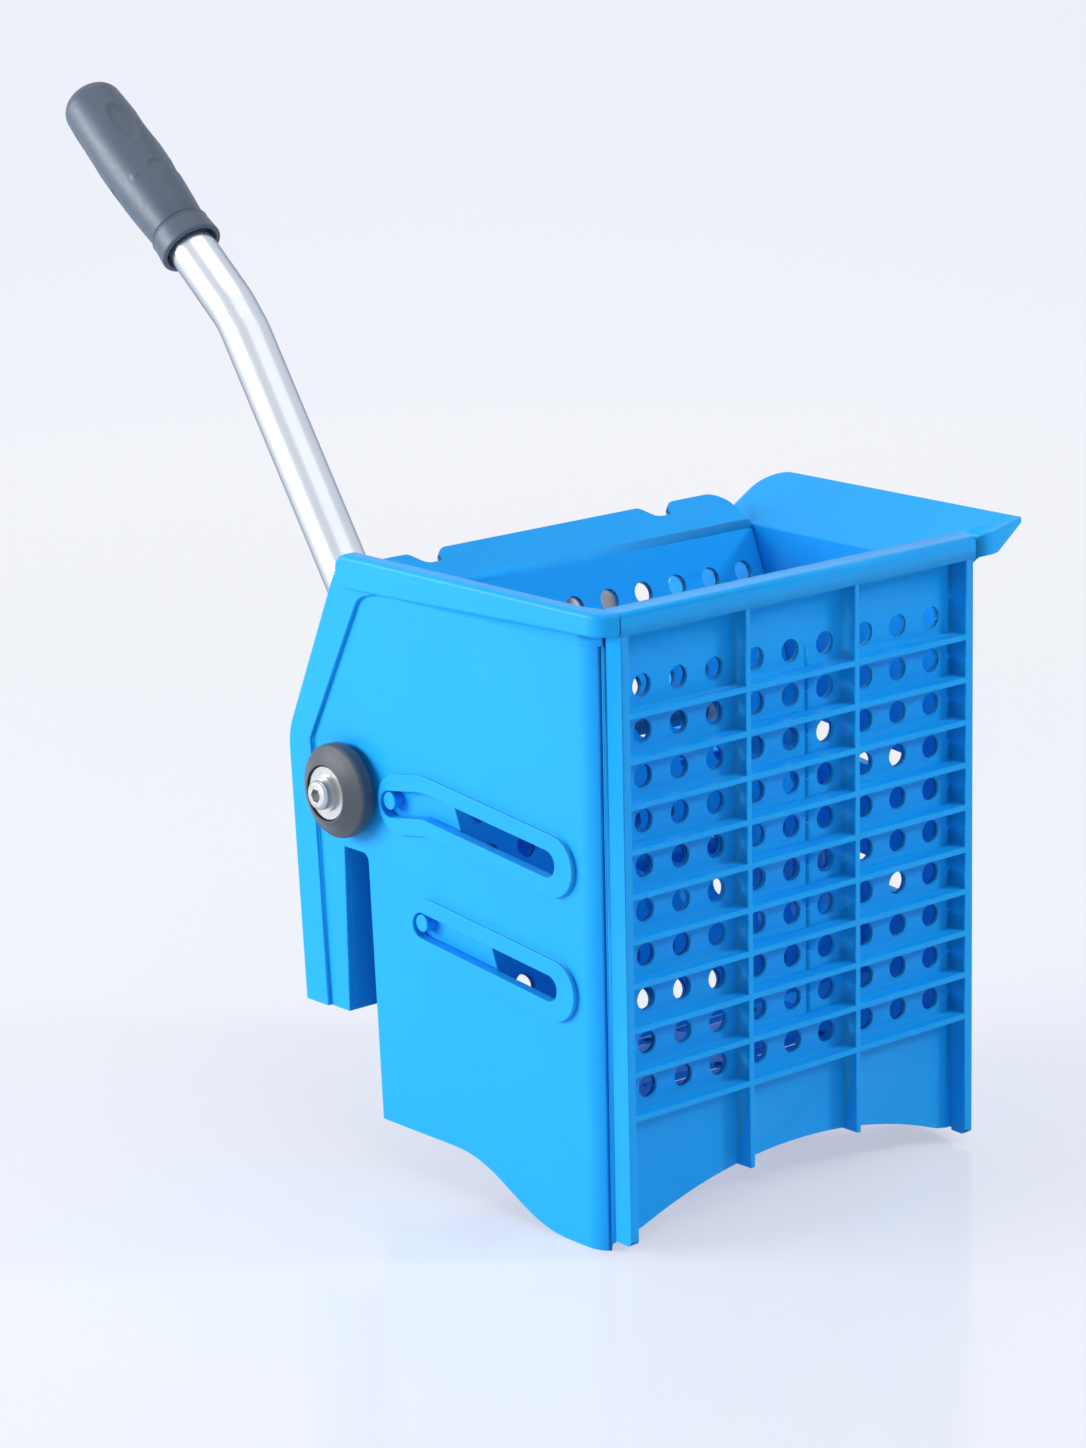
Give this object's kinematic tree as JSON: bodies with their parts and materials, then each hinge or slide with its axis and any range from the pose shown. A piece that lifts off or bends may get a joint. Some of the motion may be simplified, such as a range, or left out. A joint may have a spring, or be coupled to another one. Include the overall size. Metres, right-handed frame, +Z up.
{
  "type": "mop wringer",
  "caption": "Moulded blue mop wringer basket that hooks over a bucket wall, with a ribbed perforated front and a lever that drives a perforated press plate.",
  "frame": {"origin": "middle of the hook seat that rests on the top edge of the bucket wall", "axes": "+Z up; -Y towards the perforated front; +X towards the flared side, away from the lever"},
  "size_m": [0.3425, 0.5401, 0.5873],
  "materials": {
    "basket_blue": "satin moulded polypropylene",
    "bearing_white": "plain moulded bearing plastic",
    "cast_alloy": "plain alloy",
    "lever_tube": "satin bright tube",
    "grip_grey": "fine-grained slate grey",
    "collar_grey": "dark grey moulded",
    "zinc_steel": "bright zinc plate"
  },
  "bodies": {
    "housing": {"front_grille": "basket_blue", "near_side_panel": "basket_blue", "far_side_panel": "basket_blue", "rear_beam": "basket_blue", "drain_floor": "basket_blue", "pivot_bush_near": "bearing_white", "pivot_bush_far": "bearing_white"},
    "guide_rod": {"lower_guide_rod": "basket_blue", "lower_rod_cap_near": "basket_blue", "lower_rod_cap_far": "basket_blue"},
    "press_plate": {"press_plate": "basket_blue", "upper_guide_pin_near": "basket_blue", "upper_guide_pin_far": "basket_blue", "track_bracket_near": "cast_alloy", "track_bracket_far": "cast_alloy", "bracket_screws": "zinc_steel"},
    "lever": {"lever_axle": "cast_alloy", "lever_socket": "cast_alloy", "lever_tube": "lever_tube", "lever_grip": "grip_grey", "socket_bolt": "zinc_steel", "socket_nut": "zinc_steel", "push_arm_near": "cast_alloy", "push_arm_far": "cast_alloy", "follower_near": "bearing_white", "follower_far": "bearing_white", "follower_clips": "zinc_steel", "drive_pins": "zinc_steel", "pivot_collar_near": "collar_grey", "pivot_collar_far": "collar_grey", "collar_washer_near": "zinc_steel", "collar_washer_far": "zinc_steel", "lock_washer_near": "zinc_steel", "lock_washer_far": "zinc_steel", "pivot_bolt_near": "zinc_steel", "pivot_bolt_far": "zinc_steel"}
  },
  "joints": [
    {"name": "lever_pivot", "type": "hinge", "parent": "housing", "child": "lever", "pos_m": [0, 0.0037, 0.036], "axis": [1, 0, 0], "range_deg": [0, 72]},
    {"name": "press_slide", "type": "slide", "parent": "housing", "child": "guide_rod", "axis": [0, -0.9938, -0.1115], "range_m": [0, 0.062]},
    {"name": "press_tilt", "type": "hinge", "parent": "guide_rod", "child": "press_plate", "pos_m": [0, -0.0604, -0.0289], "axis": [1, 0, 0], "range_deg": [0, 21.5]}
  ],
  "couplings": [
    {"joint": "press_slide", "follows": "lever_pivot", "m_per_rad": 0.049337},
    {"joint": "press_tilt", "follows": "lever_pivot", "ratio": 0.29861}
  ]
}
